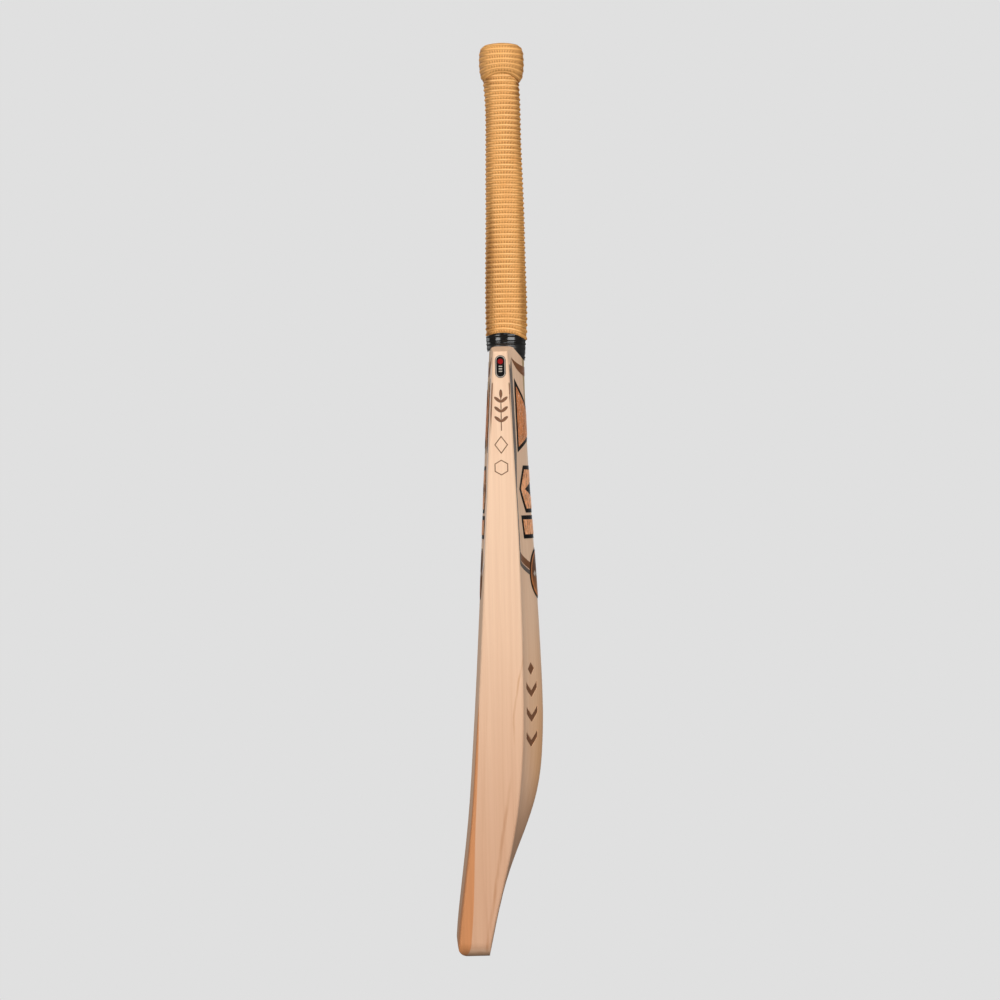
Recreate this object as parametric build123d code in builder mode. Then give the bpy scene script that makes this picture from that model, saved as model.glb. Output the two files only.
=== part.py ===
"""A full-size cricket bat, upright, with its toe on the ground.

The origin is the middle of the toe's flat foot. +Z runs up, along the handle's axis.
+X runs across the blade, and +Y from the hitting face to the back.
The blade is one willow cleft. The handle is twelve cane sticks glued round three rubber
springs, and its lower end is the wedge that fills the V cut in the blade's shoulders.
Twine, a throat binding and a rubber grip go over the cane, and printed films over the willow.
"""

import os

from build123d import *

os.makedirs("parts", exist_ok=True)

# Blade
half_width = 54
corner = 2.2  # rounding of the four long corners
face_crown = 0.8
handle_y = 39  # the blade is bowed, so the handle's axis stands this far behind the toe's middle

# Stations up the blade: height, hitting face, back at the edges and back at the spine.
# The last three are measured from the handle's axis, towards the back.
blade_stations = (
    (0, -57.0, -29.0, -25.6),
    (22, -55.4, -24.4, -20.8),
    (52, -51.7, -17.3, -13.5),
    (92, -46.5, -7.4, 0.3),
    (132, -42.1, 0.3, 15.8),
    (172, -38.9, 5.0, 24.6),
    (213, -35.9, 7.3, 27.3),
    (274, -31.8, 7.7, 26.4),
    (344, -27.6, 7.0, 23.6),
    (415, -23.7, 4.9, 19.8),
    (486, -19.6, 2.1, 16.9),
    (537, -16.5, 0.2, 16.0),
    (570, -14.6, -2.4, 16.6),
)
flank_middle = 27  # half-way across a flank
flank_share = 0.5  # the share of the spine's rise reached there
flank_start = (-1, 0.16)  # the way the flank leaves the edge

# Toe
toe_corner = 14  # seen from the front
toe_foot_front = -7.5
toe_round = 11  # seen from the side, under the hitting face

# Shoulders and the V cut
shoulder_top = 564.2
shoulder_edge = 558
shoulder_inner = 19
shoulder_corner = 2.5
shoulder_front = ((-18, 560.2), (-15.2, 562.7), (-9.5, shoulder_top))  # from the handle's axis, height
shoulder_back = ((0, shoulder_top), (5, 562.1))
shoulder_back_run = 24  # length of the slope behind the handle
splice_half_width = 15.4
splice_tip_half = 2.2
splice_tip = 442

# Handle stations: height, half-width, half-depth and how far the section stands behind the axis
handle_stations = (
    (540, 14.9, 14.7, 0),
    (551, 14.9, 14.7, 0),
    (565, 14.8, 16.1, -0.5),
    (579, 14.7, 17.0, -0.2),
    (638, 14.5, 16.8, 0.2),
    (685, 14.4, 16.0, 0.6),
    (722, 14.4, 15.3, 0.5),
    (760, 14.4, 14.41, 0.4),
    (800, 14.4, 14.41, 0.1),
    (846, 14.4, 14.41, 0),
)
cane_top = 846
spring_thickness = 1.6
spring_pitch = 7.8
spring_foot = 482
stick_half = 4.9  # half the width of the middle column of sticks
beyond = 60  # further out than any part of the handle
overrun = 1  # how far a cutting shape runs past what it cuts

# Coverings
twine = 0.7
twine_top = 838
grip = 2.3  # twine and grip together
binding_foot = 552
binding_start = 542  # the turns of tape are counted from here, inside the shoulders
binding_turn = 3.8  # height of one turn of tape
binding_turns = 10
binding_trough = 2.1
binding_crest = 2.35
cuff_middle = 577.2  # the grip's lower hem arches: height at the axis
cuff_front = 574.7
cuff_back = 569.8
cuff_reach = 19

# Collar rolled at the top of the grip
collar_radius = 20.5
collar_foot = (17.0, 816)  # radius, height
collar_swell = (19.2, 820.0)
collar_wall_foot = 826
collar_wall_top = 841
collar_top = 850
collar_round = 8.2  # how much narrower the top face is than the wall
collar_mouth = 10.5

# Printed films and burnt marks
film = 0.3
print_y = 32  # a plane inside the blade, from which every print is pushed out
print_reach = 45
burn = 0.5
outline = 3.8  # black border of a panel
stroke = 0.9  # line of a burnt outline

frame_outer = 51.6
frame_width = 3.0
frame_top = 546
frame_foot = 374
foot_stripe = 4.2  # height of the dark stripe under a diagonal
band_points = ((40, 553), (20, 546.8), (0, 545.4))
band_lower = ((0, 537.2), (20, 539.4), (40, 553))
flash_points = ((40.5, 552), (47.6, 540), (47.6, 432), (40.5, 464))
diagonal_drop = 20
diagonal_width = 8
diagonal_gap = 1.2
panels = {
    "upper": ((0, 505), (36, 534), (36, 465), (0, 479)),
    "middle": ((0, 453), (24, 453), (38, 431), (24, 409), (0, 409)),
    "lower": ((0, 406.5), (37, 406.5), (33, 385), (0, 385)),
}
window = (431, 24, 9)  # height, half-width and half-height of the lozenge window in the middle panel
badge_height = 352
badge_radius = 24
badge_outline = 1.8

# Marks burnt into the right flank, and into the right edge
flank_mark_x = 30
flank_mark_half = 11
flank_mark_rise = 9
flank_mark_stroke = 7  # height of a chevron's arm
flank_diamond = (264, 6.5)  # height, half-size
flank_chevrons = (244, 221, 198)
edge_diamond = (472, 6.4, 8.4)  # height, half-width, half-height
edge_hexagon = (451, 6.3)  # height, half-width
sprig_foot = 485
sprig_leaves = (493, 502, 511)
sprig_leaf = (8, 3)  # length, width
sprig_tilts = (40, 140)  # degrees from the way to the back
sprig_tip = 519

# Label on the right edge
label_height = 544
label_size = (20.9, 9.8)
label_border = 0.5  # black outside the ring
label_ring = 0.6
label_print = 0.15
label_dot = (4.7, 2.5)  # above the middle, radius
label_bars = (-4.4, -2.1, 0.2)
label_bar = (3.2, 1.0)


def station_value(height, column):
    """A blade station's value at a height, by straight interpolation."""
    for low, high in zip(blade_stations, blade_stations[1:]):
        if low[0] <= height <= high[0]:
            share = (height - low[0]) / (high[0] - low[0])
            return low[column] + share * (high[column] - low[column])
    raise ValueError(f"{height} is off the blade")


def edge_middle(height):
    """The middle of the blade's edge at a height."""
    return handle_y + (station_value(height, 1) + station_value(height, 2)) / 2


def blade_stock(skin):
    """The blade before its ends are cut, grown by skin at the face and at the back."""
    inner = half_width - corner
    with BuildPart() as stock:
        for height, face, edge_back, spine in blade_stations:
            front = handle_y + face - skin
            back = handle_y + edge_back + skin
            top = handle_y + spine + skin
            middle = back + flank_share * (top - back)
            with BuildSketch(Plane.XY.offset(height)):
                with BuildLine():
                    ThreePointArc((-inner, front), (0, front - face_crown), (inner, front))
                    TangentArc((half_width, front + corner), (inner, front), tangent=(0, -1))
                    Line((half_width, front + corner), (half_width, back - corner))
                    TangentArc((half_width, back - corner), (inner, back), tangent=(0, 1))
                    Spline(
                        (inner, back),
                        (flank_middle, middle),
                        (0, top),
                        (-flank_middle, middle),
                        (-inner, back),
                        tangents=(flank_start, (flank_start[0], -flank_start[1])),
                    )
                    TangentArc((-half_width, back - corner), (-inner, back), tangent=(0, 1))
                    Line((-half_width, back - corner), (-half_width, front + corner))
                    TangentArc((-half_width, front + corner), (-inner, front), tangent=(0, -1))
                make_face()
        loft()
    return stock.part


def handle_stock(skin):
    """The handle from inside the shoulders to its top, grown by skin all round."""
    with BuildPart() as stock:
        for height, half_x, half_y, behind in handle_stations:
            with BuildSketch(Plane((0, handle_y + behind, height))):
                Ellipse(half_x + skin, half_y + skin)
        loft()
    return stock.part


def handle_section(height):
    """The handle's half-width, half-depth and set-back at a height, by straight interpolation."""
    for low, high in zip(handle_stations, handle_stations[1:]):
        if low[0] <= height <= high[0]:
            share = (height - low[0]) / (high[0] - low[0])
            return [start + share * (end - start) for start, end in zip(low[1:], high[1:])]
    raise ValueError(f"{height} is off the handle")


def banded_stock():
    """The throat inside its binding, whose turns of tape bulge one above another."""
    with BuildPart() as stock:
        for number in range(2 * binding_turns + 1):
            height = binding_start + number * binding_turn / 2
            half_x, half_y, behind = handle_section(height)
            skin = binding_crest if number % 2 else binding_trough
            with BuildSketch(Plane((0, handle_y + behind, height))):
                Ellipse(half_x + skin, half_y + skin)
        loft()
    return stock.part


def half_outline(points):
    """The face bounded by points, which start and end at X = 0, and their mirror image."""
    with BuildSketch() as shape:
        with BuildLine():
            Polyline(*points)
            mirror(about=Plane.YZ)
        make_face()
    return shape.sketch


def pushed(shape, side, inside, outside):
    """A front-view shape pushed out to the back (side 1) or face (side -1), between two blade stocks."""
    with BuildPart() as layer:
        with BuildSketch(Plane((0, print_y, 0), x_dir=(1, 0, 0), z_dir=(0, -1, 0))):
            add(shape)
        extrude(amount=-side * print_reach)
        add(outside, mode=Mode.INTERSECT)
        add(inside, mode=Mode.SUBTRACT)
    return layer.part


def finish(part, name):
    """Labels a finished piece and writes its STEP."""
    part.label = name
    export_step(part, f"parts/{name}.step")


willow = blade_stock(0)
first_layer = blade_stock(film)
second_layer = blade_stock(2 * film)
burnt = blade_stock(-burn)
core = handle_stock(0)
twine_stock = handle_stock(twine)
grip_stock = handle_stock(grip)
binding_stock = banded_stock()

# Front view of the blade: square shoulders, and a toe with rounded corners
with BuildPart() as planform:
    with BuildSketch(Plane.XZ):
        add(
            half_outline(
                (
                    (0, 0),
                    (half_width, 0),
                    (half_width, shoulder_edge),
                    (shoulder_inner, shoulder_top + overrun),
                    (0, shoulder_top + overrun),
                )
            )
        )
    extrude(amount=4 * half_width, both=True)
    long_sides = planform.faces().filter_by(Axis.X).edges().filter_by(Axis.Y).group_by(Axis.Z)
    fillet(long_sides[0], toe_corner)
    long_sides = planform.faces().filter_by(Axis.X).edges().filter_by(Axis.Y).group_by(Axis.Z)
    fillet(long_sides[-1], shoulder_corner)

# Side view of the blade: the toe rounded under the face, and shoulders that fall to face and back
with BuildPart() as profile:
    with BuildSketch(Plane.YZ):
        with BuildLine():
            foot = (toe_foot_front, 0)
            nose = (toe_foot_front - toe_round, toe_round)
            front_fall = [(handle_y + y, z) for y, z in shoulder_front]
            back_fall = [(handle_y + y, z) for y, z in shoulder_back]
            before = handle_y - beyond
            TangentArc(foot, nose, tangent=(-1, 0))
            Polyline(nose, (before, nose[1]), (before, front_fall[0][1]), front_fall[0])
            ThreePointArc(*front_fall)
            Line(front_fall[-1], back_fall[0])
            brow = TangentArc(*back_fall, tangent=(1, 0))
            slope_end = (brow @ 1) + (brow % 1) * shoulder_back_run
            Polyline(brow @ 1, slope_end, (slope_end.X + beyond, slope_end.Y), (slope_end.X + beyond, 0), foot)
        make_face()
    extrude(amount=2 * half_width, both=True)

# The V cut, as a prism through the blade
with BuildPart() as v_cut:
    with BuildSketch(Plane.XZ):
        add(
            half_outline(
                (
                    (0, splice_tip),
                    (splice_tip_half, splice_tip),
                    (splice_half_width, shoulder_top),
                    (splice_half_width, shoulder_top + overrun),
                    (0, shoulder_top + overrun),
                )
            )
        )
    extrude(amount=4 * half_width, both=True)

# Burnt marks on the right flank: a diamond over three chevrons
with BuildSketch() as flank_marks:
    height, size = flank_diamond
    with Locations((flank_mark_x, height)):
        RegularPolygon(size, 4)
    for height in flank_chevrons:
        end = height + flank_mark_rise
        left = flank_mark_x - flank_mark_half
        right = flank_mark_x + flank_mark_half
        with BuildLine():
            Polyline(
                (left, end),
                (flank_mark_x, height),
                (right, end),
                (right, end - flank_mark_stroke),
                (flank_mark_x, height - flank_mark_stroke),
                (left, end - flank_mark_stroke),
                close=True,
            )
        make_face()
flank_burn = pushed(flank_marks.sketch, 1, burnt, first_layer)

# Burnt marks on the right edge: a leafy sprig over an outlined diamond and an outlined hexagon
with BuildSketch(Plane((half_width, 0, 0), x_dir=(0, 1, 0), z_dir=(1, 0, 0))) as edge_marks:
    height, half_y, half_z = edge_diamond
    middle = edge_middle(height)
    with BuildLine():
        Polyline(
            (middle - half_y, height),
            (middle, height + half_z),
            (middle + half_y, height),
            (middle, height - half_z),
            close=True,
        )
    diamond = make_face(mode=Mode.PRIVATE)
    add(diamond)
    add(offset(diamond, -stroke, kind=Kind.INTERSECTION, mode=Mode.PRIVATE), mode=Mode.SUBTRACT)
    height, radius = edge_hexagon
    with Locations((edge_middle(height), height)):
        RegularPolygon(radius, 6, major_radius=False, rotation=30)
        RegularPolygon(radius - stroke, 6, major_radius=False, rotation=30, mode=Mode.SUBTRACT)
    length, width = sprig_leaf
    stem = edge_middle(sprig_tip)
    with Locations((stem, (sprig_foot + sprig_tip) / 2)):
        Rectangle(stroke, sprig_tip - sprig_foot)
    leaves = [(height, tilt) for height in sprig_leaves for tilt in sprig_tilts]
    for height, tilt in (*leaves, (sprig_tip - length / 2, 90)):
        with Locations(Location((stem, height, 0), (0, 0, tilt))):
            with Locations((length / 2, 0)):
                Ellipse(length / 2, width / 2)

# Blade
with BuildPart() as blade:
    add(willow)
    add(planform.part, mode=Mode.INTERSECT)
    add(profile.part, mode=Mode.INTERSECT)
    whole_blade = blade.part
    add(v_cut.part, mode=Mode.SUBTRACT)
    add(flank_burn, mode=Mode.SUBTRACT)
    extrude(edge_marks.sketch, amount=-burn, mode=Mode.SUBTRACT)
finish(blade.part, "blade")

# The wedge that fills the V cut
with BuildPart() as splice:
    add(whole_blade)
    add(v_cut.part, mode=Mode.INTERSECT)

# Handle cane, before it is sawn: the wedge and the shaft that stands on it
with BuildPart() as cane:
    add(core)
    add(whole_blade, mode=Mode.SUBTRACT)
    add(splice.part)

# Rubber springs between the four layers of cane
spring_length = cane_top - spring_foot
spring_places = (-spring_pitch, 0, spring_pitch)
for number, place in enumerate(spring_places, start=1):
    with BuildPart() as spring:
        with Locations((0, handle_y + place, spring_foot + spring_length / 2)):
            Box(beyond, spring_thickness, spring_length)
        add(cane.part, mode=Mode.INTERSECT)
    finish(spring.part, f"rubber_spring_{number}")

# Slots in the cane for the springs
with BuildPart() as spring_slots:
    with Locations(*((0, handle_y + place, spring_foot + spring_length) for place in spring_places)):
        Box(beyond, spring_thickness, 2 * spring_length)

# Twelve cane sticks, three across each of the four layers
layer_walls = (-beyond, -spring_pitch, 0, spring_pitch, beyond)
column_walls = {"left": (-beyond, -stick_half), "middle": (-stick_half, stick_half), "right": (stick_half, beyond)}
for layer, (front, back) in enumerate(zip(layer_walls, layer_walls[1:]), start=1):
    for column, (low, high) in column_walls.items():
        with BuildPart() as stick:
            with BuildSketch():
                with Locations(((low + high) / 2, handle_y + (front + back) / 2)):
                    Rectangle(high - low, back - front)
            extrude(amount=cane_top + beyond)
            add(cane.part, mode=Mode.INTERSECT)
            add(spring_slots.part, mode=Mode.SUBTRACT)
        finish(stick.part, f"cane_stick_{layer}_{column}")

# Everything below the grip's arched lower hem
with BuildPart() as below_hem:
    with BuildSketch(Plane.YZ):
        with BuildLine():
            front_end = (handle_y - cuff_reach, cuff_front)
            back_end = (handle_y + cuff_reach, cuff_back)
            ThreePointArc(front_end, (handle_y, cuff_middle), back_end)
            Polyline(
                back_end,
                (handle_y + beyond, cuff_back),
                (handle_y + beyond, splice_tip),
                (handle_y - beyond, splice_tip),
                (handle_y - beyond, cuff_front),
                front_end,
            )
        make_face()
    extrude(amount=beyond, both=True)

# Twine wound on the cane
with BuildPart() as twine_binding:
    add(twine_stock)
    add(core, mode=Mode.SUBTRACT)
    add(below_hem.part, mode=Mode.SUBTRACT)
    split(bisect_by=Plane.XY.offset(twine_top), keep=Keep.BOTTOM)
finish(twine_binding.part, "twine_binding")

# Grip: the rubber sleeve, up to the collar's foot
with BuildPart() as grip_sleeve:
    add(grip_stock)
    add(twine_stock, mode=Mode.SUBTRACT)
    add(below_hem.part, mode=Mode.SUBTRACT)
    split(bisect_by=Plane.XY.offset(collar_foot[1]), keep=Keep.BOTTOM)
finish(grip_sleeve.part, "grip")

# Throat binding, from the shoulders to the grip's hem
with BuildPart() as throat_binding:
    add(binding_stock)
    add(core, mode=Mode.SUBTRACT)
    add(profile.part, mode=Mode.SUBTRACT)
    add(below_hem.part, mode=Mode.INTERSECT)
    split(bisect_by=Plane.XY.offset(binding_foot), keep=Keep.TOP)
finish(throat_binding.part, "throat_binding")

# Collar: the grip's top end, rolled over the end of the handle
with BuildPart() as grip_collar:
    with BuildSketch(Plane((0, handle_y, 0), x_dir=(1, 0, 0), z_dir=(0, -1, 0))):
        with BuildLine():
            wall_foot = (collar_radius, collar_wall_foot)
            wall_top = (collar_radius, collar_wall_top)
            rim = (collar_radius - collar_round, collar_top)
            Polyline((0, collar_foot[1]), collar_foot)
            Spline(collar_foot, collar_swell, wall_foot, tangents=((0.5, 1), (0, 1)))
            Line(wall_foot, wall_top)
            Spline(wall_top, rim, tangents=((0, 1), (-1, 0)))
            Polyline(rim, (0, collar_top), (0, collar_foot[1]))
        make_face()
    revolve(axis=Axis((0, handle_y, 0), (0, 0, 1)))
    add(cane.part, mode=Mode.SUBTRACT)
    add(twine_binding.part, mode=Mode.SUBTRACT)
    with Locations((0, handle_y, (cane_top + collar_top) / 2)):
        Cylinder(collar_mouth, collar_top - cane_top, mode=Mode.SUBTRACT)
finish(grip_collar.part, "grip_collar")


def bent_band(upper, lower):
    """A front-view band across the blade: two arcs a side, meeting in a point at each end."""
    with BuildSketch() as shape:
        with BuildLine():
            tip, middle, centre = upper
            ThreePointArc(centre, middle, tip)
            ThreePointArc(tip, lower[1], lower[0])
            mirror(about=Plane.YZ)
        make_face()
    return shape.sketch


def panel(points, inset):
    """A panel's front view, drawn in by inset."""
    with BuildSketch() as shape:
        add(half_outline(points))
        if inset:
            offset(amount=-inset, kind=Kind.INTERSECTION, mode=Mode.REPLACE)
    return shape.sketch


def diagonal(top, width):
    """A band that runs in from the right stripe, falling to the blade's middle, up to the badge."""
    with BuildSketch() as shape:
        with BuildLine():
            Polyline(
                (frame_outer, top),
                (0, top - diagonal_drop),
                (0, top - diagonal_drop - width),
                (frame_outer, top - width),
                close=True,
            )
        make_face()
        with Locations((0, badge_height)):
            Circle(badge_radius, mode=Mode.SUBTRACT)
    return shape.sketch


# Front views of the films
with BuildSketch() as badge_disc:
    with Locations((0, badge_height)):
        Circle(badge_radius)
with BuildSketch() as badge_middle:
    with Locations((0, badge_height)):
        Circle(badge_radius - badge_outline)
stripe_length = frame_top - frame_foot + diagonal_width + frame_width
with BuildSketch() as right_frame:
    with Locations((frame_outer, frame_top)):
        Rectangle(frame_width, stripe_length, align=(Align.MAX, Align.MAX))
    add(diagonal(frame_foot - diagonal_width, foot_stripe))
with BuildSketch() as right_diagonal:
    add(diagonal(frame_foot, diagonal_width - diagonal_gap))
    with Locations((frame_outer, frame_top)):
        Rectangle(frame_width, stripe_length, align=(Align.MAX, Align.MAX), mode=Mode.SUBTRACT)
with BuildSketch() as right_flash:
    with BuildLine():
        Polyline(*flash_points, close=True)
    make_face()
window_height, window_x, window_z = window
window_corners = ((0, window_height + window_z), (window_x, window_height), (0, window_height - window_z))
middle_window = panel(window_corners, 0)

for side, sign in (("back", 1), ("face", -1)):
    finish(pushed(badge_disc.sketch, sign, willow, first_layer), f"{side}_badge")
    finish(pushed(badge_middle.sketch, sign, first_layer, second_layer), f"{side}_badge_field")
    finish(pushed(bent_band(band_points, band_lower), sign, willow, first_layer), f"{side}_band")
    paired = {"frame": right_frame.sketch}
    if side == "back":
        paired["diagonal"] = right_diagonal.sketch
        paired["flash"] = right_flash.sketch
    for name, shape in paired.items():
        finish(pushed(shape, sign, willow, first_layer), f"{side}_{name}_right")
        finish(pushed(shape.mirror(Plane.YZ), sign, willow, first_layer), f"{side}_{name}_left")
    for name, points in panels.items():
        inlay = panel(points, outline)
        if name == "middle":
            inlay -= middle_window
        finish(pushed(panel(points, 0), sign, willow, first_layer), f"{side}_panel_{name}")
        finish(pushed(inlay, sign, first_layer, second_layer), f"{side}_inlay_{name}")

# Weight label on the right edge: a black pill, and a light ring, a dot and three bars printed on it
label_middle = edge_middle(label_height)
label_length, label_width = label_size


def on_edge(shape, inner, thickness):
    """A shape drawn about the label's middle, as a film that starts inner above the right edge."""
    with BuildPart() as layer:
        with BuildSketch(Plane((half_width + inner, label_middle, label_height), (0, 1, 0), (1, 0, 0))):
            add(shape)
        extrude(amount=thickness)
    return layer.part


with BuildSketch() as pill:
    SlotOverall(label_length, label_width, rotation=90)
with BuildSketch() as pill_ring:
    for inset, mode in ((label_border, Mode.ADD), (label_border + label_ring, Mode.SUBTRACT)):
        SlotOverall(label_length - 2 * inset, label_width - 2 * inset, rotation=90, mode=mode)
with BuildSketch() as pill_dot:
    with Locations((0, label_dot[0])):
        Circle(label_dot[1])
with BuildSketch() as pill_bars:
    with Locations(*((0, height) for height in label_bars)):
        Rectangle(*label_bar)
finish(on_edge(pill.sketch, 0, film), "label")
finish(on_edge(pill_ring.sketch, film, label_print), "label_ring")
finish(on_edge(pill_dot.sketch, film, label_print), "label_dot")
finish(on_edge(pill_bars.sketch, film, label_print), "label_bars")
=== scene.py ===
"""A cricket bat's visual model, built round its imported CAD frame.

The blade, cane, twine and printed films are the frame's own solids and get their finishes here.
The ribbed grip and its rolled collar are modelled here, and stand for the frame's plain sleeves.
"""

import math

import bpy
from mathutils import Matrix, Vector
from mathutils.bvhtree import BVHTree


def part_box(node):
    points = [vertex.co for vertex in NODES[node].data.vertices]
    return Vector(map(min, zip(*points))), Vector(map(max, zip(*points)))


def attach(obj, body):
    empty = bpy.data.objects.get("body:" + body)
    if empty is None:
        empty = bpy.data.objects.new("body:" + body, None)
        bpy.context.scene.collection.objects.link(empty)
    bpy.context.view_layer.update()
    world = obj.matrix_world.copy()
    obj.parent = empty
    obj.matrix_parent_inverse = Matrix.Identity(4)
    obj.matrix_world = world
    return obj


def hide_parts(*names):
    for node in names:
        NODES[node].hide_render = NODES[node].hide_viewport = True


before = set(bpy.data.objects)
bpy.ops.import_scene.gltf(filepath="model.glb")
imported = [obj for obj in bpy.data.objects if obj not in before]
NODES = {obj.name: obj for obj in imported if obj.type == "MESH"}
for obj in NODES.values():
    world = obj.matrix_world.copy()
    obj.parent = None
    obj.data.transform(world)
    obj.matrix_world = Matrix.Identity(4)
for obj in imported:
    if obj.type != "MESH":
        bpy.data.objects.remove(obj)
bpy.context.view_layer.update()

bl_info = {
    "name": "Cricket Bat",
    "version": (1, 0, 0),
    "blender": (4, 5, 0),
    "location": "View3D > Sidebar > Bat",
    "description": "Models the soft parts of a cricket bat and finishes its willow, cane, rubber and prints",
    "category": "Object",
}

MM = 0.001
COLLAR_LOW, COLLAR_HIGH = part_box("grip_collar")
AXIS_Y = (COLLAR_LOW.y + COLLAR_HIGH.y) / 2
GRIP_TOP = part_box("grip")[1].z
EDGE_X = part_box("blade")[1].x  # the flat of the right edge

# The grip's pattern. Places and half heights are shares of one pitch, from its foot up.
RIB_MIDDLE, STUD_MIDDLE = 0.875, 0.375
RIB_HALF, STUD_HALF = 0.15, 0.42
LEAN_RISE = 3.2  # how soon a cut reaches its full lean, away from the middle of a side
CUT_DEPTH = 0.6  # share of a stud's height
COLUMNS_PER_STUD = 3
ROWS_PER_PITCH = 8

# name, azimuth in degrees, distance, height, width and tallness in metres, strength
LIGHTS = (
    ("key", 26, 3.2, 1.15, 2.1, 2.0, 6.25),
    ("second_key", -47, 3.2, 1.15, 1.4, 2.0, 5.9),
    ("top", 20, 0.8, 2.6, 1.6, 1.2, 2.3),
    ("far_fill", 168, 3.2, 1.2, 1.8, 2.0, 2.2),
    ("back_fill", 112, 3.0, 1.2, 1.6, 2.0, 0.2),
    ("face_fill", -128, 3.0, 1.2, 1.6, 2.0, 1.5),
)
LIGHTS_AIM_Z = 0.5


# ---------------------------------------------------------------- properties


def colour_property(name, description, default):
    """A colour setting, in linear light."""
    return bpy.props.FloatVectorProperty(
        name=name, description=description, default=default, subtype="COLOR", size=3, min=0, max=1
    )


def length_property(name, description, default):
    """A length setting, in metres."""
    return bpy.props.FloatProperty(name=name, description=description, default=default, unit="LENGTH", precision=5)


def angle_property(name, description, default):
    """An angle setting, in radians."""
    return bpy.props.FloatProperty(name=name, description=description, default=default, subtype="ANGLE")


class WillowSettings(bpy.types.PropertyGroup):
    """Colours and grain of the blade."""

    pale: colour_property("Sapwood", "Colour between the grain lines", (0.850, 0.580, 0.395))
    grain: colour_property("Grain", "Colour of the grain lines", (0.740, 0.460, 0.290))
    low: colour_property("Low tint", "Tint of the wood at the toe", (0.795, 0.672, 0.606))
    # darker on the face near the toe in cloudy patches; on the back near the toe this tint is painted shade
    scuffed: colour_property("Toe darkening", "Tint of the face and the back near the toe", (0.740, 0.670, 0.600))
    back: colour_property("Back tint", "Tint of the wood low on the spine", (0.930, 0.800, 0.600))
    figure: colour_property("Figure", "Tint of the two dark lines on the right edge", (0.830, 0.730, 0.630))
    heart: colour_property("Heartwood", "Colour of the strip beside the face at the toe", (0.700, 0.285, 0.108))
    burnt: colour_property("Burnt", "Colour of the burnt marks", (0.160, 0.066, 0.028))
    ring: length_property("Ring", "Distance between two grain lines", 5.2 * MM)


class HandleSettings(bpy.types.PropertyGroup):
    """Colours of the handle's core."""

    cane: colour_property("Cane", "Colour of the cane sticks", (0.620, 0.410, 0.200))
    spring: colour_property("Springs", "Colour of the rubber springs", (0.035, 0.030, 0.028))
    twine: colour_property("Twine", "Colour of the waxed thread", (0.700, 0.620, 0.470))
    binding: colour_property("Binding", "Colour of the throat binding", (0.0060, 0.0052, 0.0048))


class GripSettings(bpy.types.PropertyGroup):
    """Relief and colour of the rubber grip."""

    rubber: colour_property("Rubber", "Colour of the studs", (0.900, 0.450, 0.138))
    # the ribs' paler colour is a painted highlight, shown in patches of the wear noise
    crest_highlight: colour_property("Crests", "Colour of the ribs, worn a little paler", (1.000, 0.590, 0.235))
    # the dark colour in the cuts and under the ribs is painted shade
    groove_shade: colour_property("Grooves", "Colour in the cuts and under the ribs", (0.280, 0.105, 0.023))
    # painted shade on the rubber's sides towards the face and the back
    painted_side_shade: colour_property("Painted side shade", "Tint of the rubber towards the face and the back", (0.600, 0.530, 0.400))
    pitch: length_property("Pitch", "Height of one rib with the row of studs under it", 4.65 * MM)
    rib: length_property("Rib", "How far a rib stands out", 0.50 * MM)
    stud: length_property("Stud", "How far a stud stands out", 1.25 * MM)
    flatter: bpy.props.FloatProperty(name="Flatter", description="Relief of the collar beside the grip's", default=0.5)
    sink: length_property("Sink", "How far the grooves lie inside the frame's sleeve", 0.85 * MM)
    lean: angle_property("Lean", "Most lean of a cut over one pitch", 5.0)
    studs: bpy.props.IntProperty(name="Studs", description="Studs in one row of the grip", default=66)
    collar_studs: bpy.props.IntProperty(name="Collar studs", description="Studs in one row of the collar", default=78)
    hem_middle: length_property("Hem middle", "Height of the grip's lower hem beside the handle's axis", 577.2 * MM)
    hem_front: length_property("Hem front", "Height of the grip's lower hem at the front", 574.7 * MM)
    hem_back: length_property("Hem back", "Height of the grip's lower hem at the back", 569.8 * MM)


class PrintSettings(bpy.types.PropertyGroup):
    """Colours of the printed films."""

    copper: colour_property("Copper", "Colour of the lower inlays", (1.000, 0.455, 0.215))
    deep_copper: colour_property("Deep copper", "Colour of the upper inlay", (0.700, 0.250, 0.090))
    fleck: colour_property("Flecks", "Colour of the dark flecks in the inlays", (0.240, 0.080, 0.030))
    brown: colour_property("Brown", "Colour of the band, the diagonals and the badge", (0.200, 0.080, 0.034))
    grey: colour_property("Grey", "Colour of the edging stripes", (0.130, 0.106, 0.092))
    taupe: colour_property("Taupe", "Colour of the flashes", (0.120, 0.088, 0.068))
    black: colour_property("Black", "Colour of the outlines", (0.005, 0.004, 0.004))
    silver: colour_property("Silver", "Colour of the edging stripes on the hitting face", (0.780, 0.700, 0.660))
    glow: colour_property("Glow", "Colour of the badge near its foot", (0.420, 0.150, 0.036))
    ring_radius: length_property("Badge ring", "Radius of the badge's copper ring", 20.5 * MM)
    white: colour_property("White", "Colour of the label's ring and bars", (0.480, 0.420, 0.360))
    red: colour_property("Red", "Colour of the label's dot", (0.270, 0.006, 0.007))
    speck: colour_property("Specks", "Colour of the bright specks in the inlays", (1.000, 0.760, 0.560))


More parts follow.
